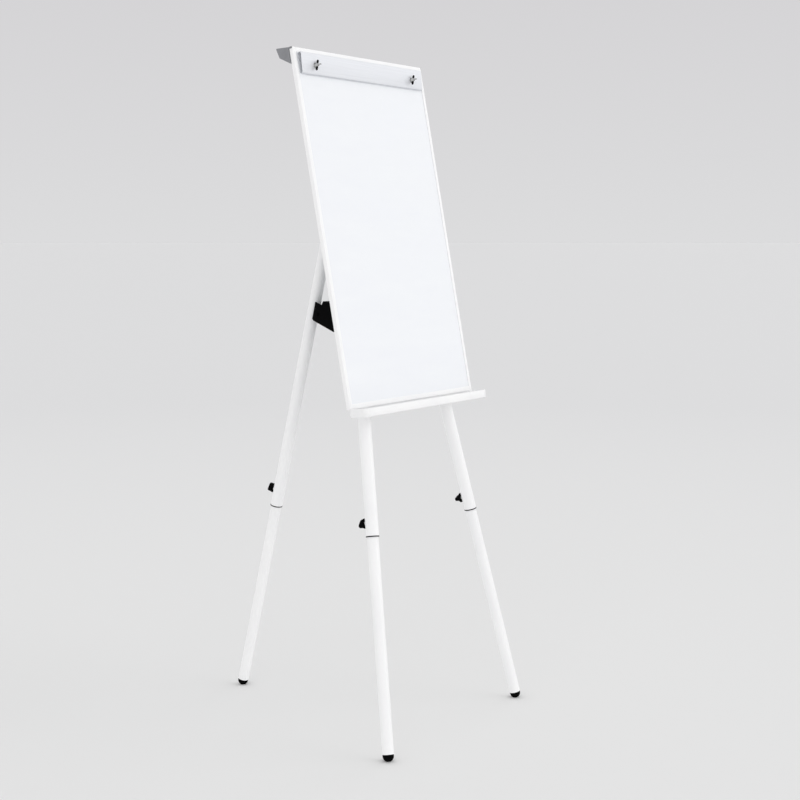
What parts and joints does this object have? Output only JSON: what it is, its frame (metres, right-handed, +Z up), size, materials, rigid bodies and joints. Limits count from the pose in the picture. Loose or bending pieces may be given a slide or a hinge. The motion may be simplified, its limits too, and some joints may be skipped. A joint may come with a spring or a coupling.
{
  "type": "flip chart easel",
  "caption": "Tall magnetic whiteboard on a folding tripod, with telescopic legs, screw knobs, a hooked rear stay, a pen tray and a pad clamp held by wing nuts.",
  "frame": {"origin": "on the floor, at the middle of the standing footprint, midway between the front feet and the rear foot", "axes": "+X to the right for someone who writes on the board, +Y to the rear leg, +Z up"},
  "size_m": [0.773, 0.863, 2.0255],
  "materials": {
    "white_paint": "satin powder coat",
    "white_enamel": "gloss enamel",
    "core_board": "raw fibreboard",
    "zinc_sheet": "galvanised",
    "tray_white": "satin powder coat",
    "cap_plastic": "moulded satin",
    "rail_grey": "satin grey paint",
    "grey_plastic": "moulded satin",
    "zinc_steel": "zinc plated",
    "chrome": "polished",
    "silver_anodised": "satin anodised",
    "black_plastic": "moulded matte",
    "black_rubber": "matte",
    "black_steel": "satin black powder coat"
  },
  "bodies": {
    "board": {"steel_face": "white_enamel", "board_core": "core_board", "back_sheet": "zinc_sheet", "frame_left": "white_paint", "frame_right": "white_paint", "frame_top": "white_paint", "frame_bottom": "white_paint", "pen_tray": "tray_white", "tray_ends": "cap_plastic", "top_rail": "rail_grey", "rail_ends": "grey_plastic", "board_screws": "zinc_steel", "clamp_studs": "chrome", "hub_plate": "white_paint", "pivot_bolts": "zinc_steel", "pivot_washers": "zinc_steel", "rear_hinge_pin": "zinc_steel", "leg_guides": "white_paint", "stay_catch": "white_paint", "catch_bar": "zinc_steel"},
    "clamp": {"clamp_bar": "silver_anodised", "clamp_washers": "chrome"},
    "wing_left": {"wing_nut_left": "black_plastic"},
    "wing_right": {"wing_nut_right": "black_plastic"},
    "stay": {"stay_arm": "black_steel"},
    "left_leg": {"left_upper_tube": "white_paint", "left_top_cap": "cap_plastic", "left_pivot_bush": "black_plastic", "left_end_bush": "black_plastic", "left_clamp_nut": "white_paint"},
    "left_lower": {"left_lower_tube": "white_paint", "left_guide_plug": "black_plastic", "left_foot": "black_rubber"},
    "left_knob": {"left_knob": "black_plastic"},
    "right_leg": {"right_upper_tube": "white_paint", "right_top_cap": "cap_plastic", "right_pivot_bush": "black_plastic", "right_end_bush": "black_plastic", "right_clamp_nut": "white_paint"},
    "right_lower": {"right_lower_tube": "white_paint", "right_guide_plug": "black_plastic", "right_foot": "black_rubber"},
    "right_knob": {"right_knob": "black_plastic"},
    "rear_leg": {"rear_upper_tube": "white_paint", "rear_top_cap": "cap_plastic", "rear_pivot_bush": "black_plastic", "rear_end_bush": "black_plastic", "rear_clamp_nut": "white_paint", "stay_knuckle": "black_plastic", "knuckle_rivets": "zinc_steel", "stay_pin": "black_steel"},
    "rear_lower": {"rear_lower_tube": "white_paint", "rear_guide_plug": "black_plastic", "rear_foot": "black_rubber"},
    "rear_knob": {"rear_knob": "black_plastic"}
  },
  "joints": [
    {"name": "left_leg_fold", "type": "hinge", "parent": "board", "child": "left_leg", "pos_m": [-0.075, -0.0474, 1.93293], "axis": [0, -0.9821, 0.1882], "range_deg": [0, 8.5]},
    {"name": "right_leg_fold", "type": "hinge", "parent": "board", "child": "right_leg", "pos_m": [0.075, -0.0474, 1.93293], "axis": [0, 0.9821, -0.1882], "range_deg": [0, 8.5]},
    {"name": "rear_leg_fold", "type": "hinge", "parent": "board", "child": "rear_leg", "pos_m": [0, -0.04425, 1.90688], "axis": [-1, 0, 0], "range_deg": [0, 19]},
    {"name": "stay_fold", "type": "hinge", "parent": "rear_leg", "child": "stay", "pos_m": [0, 0.08583, 1.24385], "axis": [1, 0, 0], "range_deg": [0, 84]},
    {"name": "left_leg_length", "type": "slide", "parent": "left_leg", "child": "left_lower", "axis": [-0.1494, -0.1861, -0.9711], "range_m": [-0.58, 0.125]},
    {"name": "left_knob_turn", "type": "hinge", "parent": "left_leg", "child": "left_knob", "pos_m": [-0.27082, -0.26195, 0.65417], "axis": [0, 0.9821, -0.1882], "range_deg": [0, 720]},
    {"name": "right_leg_length", "type": "slide", "parent": "right_leg", "child": "right_lower", "axis": [0.1494, -0.1861, -0.9711], "range_m": [-0.58, 0.125]},
    {"name": "right_knob_turn", "type": "hinge", "parent": "right_leg", "child": "right_knob", "pos_m": [0.27082, -0.26195, 0.65417], "axis": [0, 0.9821, -0.1882], "range_deg": [0, 720]},
    {"name": "rear_leg_length", "type": "slide", "parent": "rear_leg", "child": "rear_lower", "axis": [0, 0.2359, -0.9718], "range_m": [-0.58, 0.125]},
    {"name": "rear_knob_turn", "type": "hinge", "parent": "rear_leg", "child": "rear_knob", "pos_m": [0, 0.28544, 0.67591], "axis": [0, 0.9718, 0.2359], "range_deg": [0, 720]},
    {"name": "clamp_slide", "type": "slide", "parent": "board", "child": "clamp", "axis": [0, -0.9821, 0.1882], "range_m": [0, 0.008]},
    {"name": "wing_left_turn", "type": "hinge", "parent": "clamp", "child": "wing_left", "pos_m": [-0.255, -0.08797, 1.97752], "axis": [0, -0.9821, 0.1882], "range_deg": [0, 720]},
    {"name": "wing_right_turn", "type": "hinge", "parent": "clamp", "child": "wing_right", "pos_m": [0.255, -0.08797, 1.97752], "axis": [0, -0.9821, 0.1882], "range_deg": [0, 720]}
  ],
  "couplings": [
    {"joint": "stay_fold", "follows": "rear_leg_fold", "ratio": 4.4}
  ]
}
